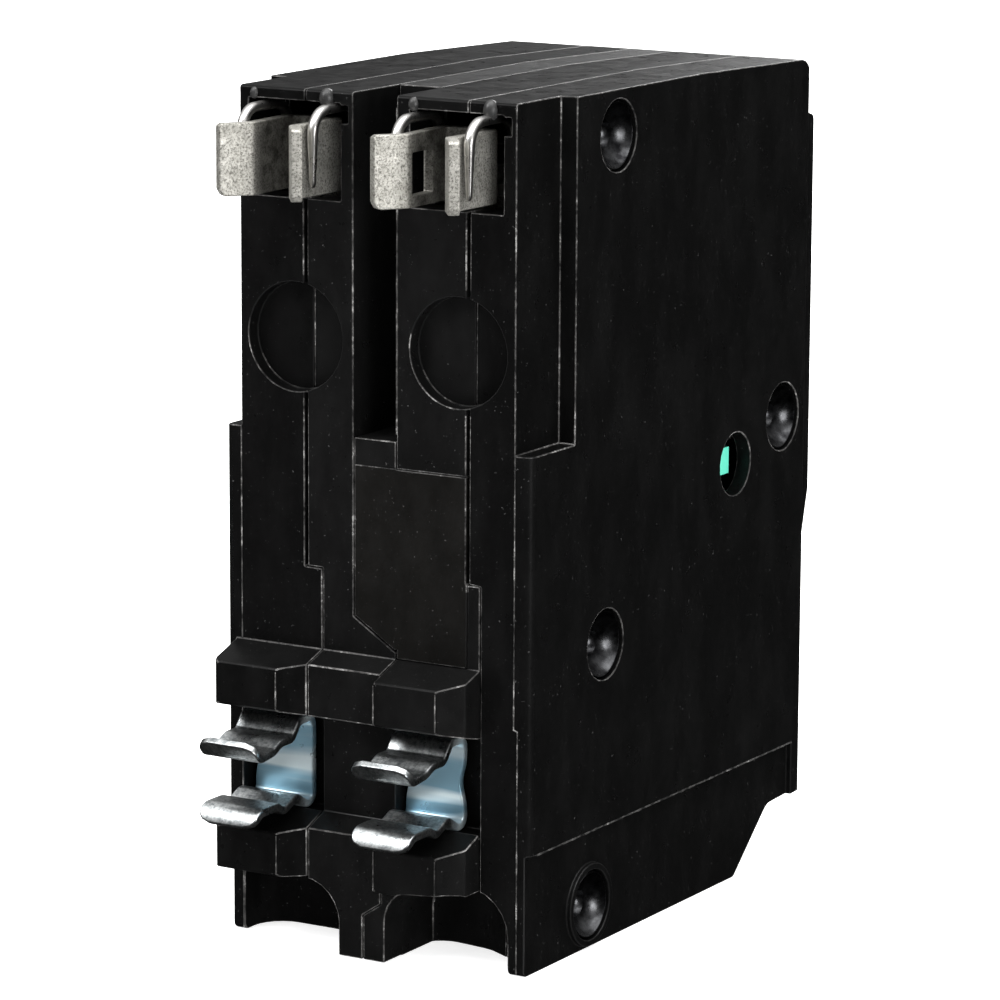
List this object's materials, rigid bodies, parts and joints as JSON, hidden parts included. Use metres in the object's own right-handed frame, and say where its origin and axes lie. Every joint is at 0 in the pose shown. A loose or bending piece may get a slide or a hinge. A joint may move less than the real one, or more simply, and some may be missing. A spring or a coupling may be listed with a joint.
{
  "type": "gfci breaker",
  "caption": "Plug-on ground-fault circuit breaker with line jaws, spring rail clips, tied handles and a test button.",
  "frame": {"origin": "on the load end, at the centre of the overall footprint, half way between the clip noses and the handle tie", "axes": "+Z from the load end to the line end, +Y towards the handles, +X to the right seen from the mounting side"},
  "size_m": [0.0382, 0.0826, 0.0928],
  "materials": {
    "case_black": "moulded thermoset, semi-gloss",
    "frame_black": "moulded thermoset, satin",
    "handle_black": "moulded, semi-gloss",
    "rivet_steel": "dark polished",
    "tinned_copper": "tin plated, speckled",
    "spring_steel": "polished",
    "silver": "satin",
    "copper": "satin copper",
    "fibre": "vulcanised fibre",
    "bimetal": "rolled",
    "magnet_steel": "dark",
    "lug_aluminium": "extruded",
    "screw_steel": "zinc plated",
    "zinc": "bright zinc plate",
    "trip_teal": "moulded",
    "button_yellow": "moulded",
    "board_green": "coated laminate",
    "varistor_blue": "dipped"
  },
  "bodies": {
    "housing": {"left_cover": "case_black", "left_case": "case_black", "module_frame": "frame_black", "right_case": "case_black", "right_cover": "case_black", "rivet_top": "rivet_steel", "rivet_front": "rivet_steel", "rivet_back": "rivet_steel", "rivet_bottom": "rivet_steel", "left_line_jaw": "tinned_copper", "left_jaw_spring": "spring_steel", "left_fixed_contact": "silver", "left_arm_pin": "spring_steel", "left_cradle_pin": "spring_steel", "left_arc_chute": "fibre", "left_bimetal": "bimetal", "left_magnet_yoke": "magnet_steel", "left_load_strap": "copper", "left_load_lug": "lug_aluminium", "left_rail_clip": "zinc", "right_line_jaw": "tinned_copper", "right_jaw_spring": "spring_steel", "right_fixed_contact": "silver", "right_arm_pin": "spring_steel", "right_cradle_pin": "spring_steel", "right_arc_chute": "fibre", "right_bimetal": "bimetal", "right_magnet_yoke": "magnet_steel", "right_load_strap": "copper", "right_load_lug": "lug_aluminium", "right_rail_clip": "zinc", "handle_shaft": "spring_steel", "test_spring": "spring_steel", "plunger_spring": "spring_steel", "circuit_board": "board_green", "control_chip": "frame_black", "varistor": "varistor_blue", "current_transformer": "fibre", "solenoid_coil": "copper", "neutral_lug": "lug_aluminium"},
    "handles": {"left_handle": "handle_black", "right_handle": "handle_black", "handle_tie": "handle_black"},
    "left_arm": {"left_contact_arm": "copper", "left_moving_contact": "silver", "left_toggle_spring": "spring_steel"},
    "left_cradle_lever": {"left_cradle": "spring_steel"},
    "left_armature_plate": {"left_armature": "magnet_steel"},
    "left_screw": {"left_lug_screw": "screw_steel"},
    "right_arm": {"right_contact_arm": "copper", "right_moving_contact": "silver", "right_toggle_spring": "spring_steel"},
    "right_cradle_lever": {"right_cradle": "spring_steel"},
    "right_armature_plate": {"right_armature": "magnet_steel"},
    "right_screw": {"right_lug_screw": "screw_steel"},
    "trip": {"trip_bar": "trip_teal"},
    "plunger": {"solenoid_plunger": "spring_steel"},
    "button": {"test_button": "button_yellow"},
    "neutral_terminal_screw": {"neutral_screw": "screw_steel"}
  },
  "joints": [
    {"name": "handle_swing", "type": "hinge", "parent": "housing", "child": "handles", "pos_m": [0, 0.0223, 0.064], "axis": [1, 0, 0], "range_deg": [0, 44]},
    {"name": "left_arm_swing", "type": "hinge", "parent": "housing", "child": "left_arm", "pos_m": [0, 0.0093, 0.06], "axis": [1, 0, 0], "range_deg": [-14, 0]},
    {"name": "right_arm_swing", "type": "hinge", "parent": "housing", "child": "right_arm", "pos_m": [0, 0.0093, 0.06], "axis": [1, 0, 0], "range_deg": [-14, 0]},
    {"name": "trip_bar_turn", "type": "hinge", "parent": "housing", "child": "trip", "pos_m": [0, 0.0134, 0.0483], "axis": [1, 0, 0], "range_deg": [0, 10], "stiffness_Nm_per_rad": 0.01},
    {"name": "left_cradle_swing", "type": "hinge", "parent": "housing", "child": "left_cradle_lever", "pos_m": [0, -0.0047, 0.056], "axis": [1, 0, 0], "range_deg": [0, 18]},
    {"name": "right_cradle_swing", "type": "hinge", "parent": "housing", "child": "right_cradle_lever", "pos_m": [0, -0.0047, 0.056], "axis": [1, 0, 0], "range_deg": [0, 18]},
    {"name": "left_armature_swing", "type": "hinge", "parent": "housing", "child": "left_armature_plate", "pos_m": [0, 0.0041, 0.0264], "axis": [1, 0, 0], "range_deg": [0, 5]},
    {"name": "right_armature_swing", "type": "hinge", "parent": "housing", "child": "right_armature_plate", "pos_m": [0, 0.0041, 0.0264], "axis": [1, 0, 0], "range_deg": [0, 5]},
    {"name": "plunger_slide", "type": "slide", "parent": "housing", "child": "plunger", "axis": [0, 1, 0], "range_m": [0, 0.0025], "stiffness_N_per_m": 150, "deforming": ["plunger_spring"]},
    {"name": "test_button_press", "type": "slide", "parent": "housing", "child": "button", "axis": [0, -1, 0], "range_m": [0, 0.002], "stiffness_N_per_m": 300, "deforming": ["test_spring"]},
    {"name": "left_screw_turn", "type": "hinge", "parent": "housing", "child": "left_screw", "pos_m": [-0.0117, 0.0183, 0.0124], "axis": [0, 1, 0], "continuous": true},
    {"name": "right_screw_turn", "type": "hinge", "parent": "housing", "child": "right_screw", "pos_m": [0.0117, 0.0183, 0.0124], "axis": [0, 1, 0], "continuous": true},
    {"name": "neutral_screw_turn", "type": "hinge", "parent": "housing", "child": "neutral_terminal_screw", "pos_m": [0, 0.0183, 0.0122], "axis": [0, 1, 0], "continuous": true}
  ],
  "couplings": [
    {"joint": "left_arm_swing", "follows": "handle_swing", "ratio": -0.318},
    {"joint": "right_arm_swing", "follows": "handle_swing", "ratio": -0.318},
    {"joint": "left_cradle_swing", "follows": "trip_bar_turn", "ratio": 1.8},
    {"joint": "right_cradle_swing", "follows": "trip_bar_turn", "ratio": 1.8},
    {"joint": "left_armature_swing", "follows": "trip_bar_turn", "ratio": 0.5},
    {"joint": "right_armature_swing", "follows": "trip_bar_turn", "ratio": 0.5}
  ]
}
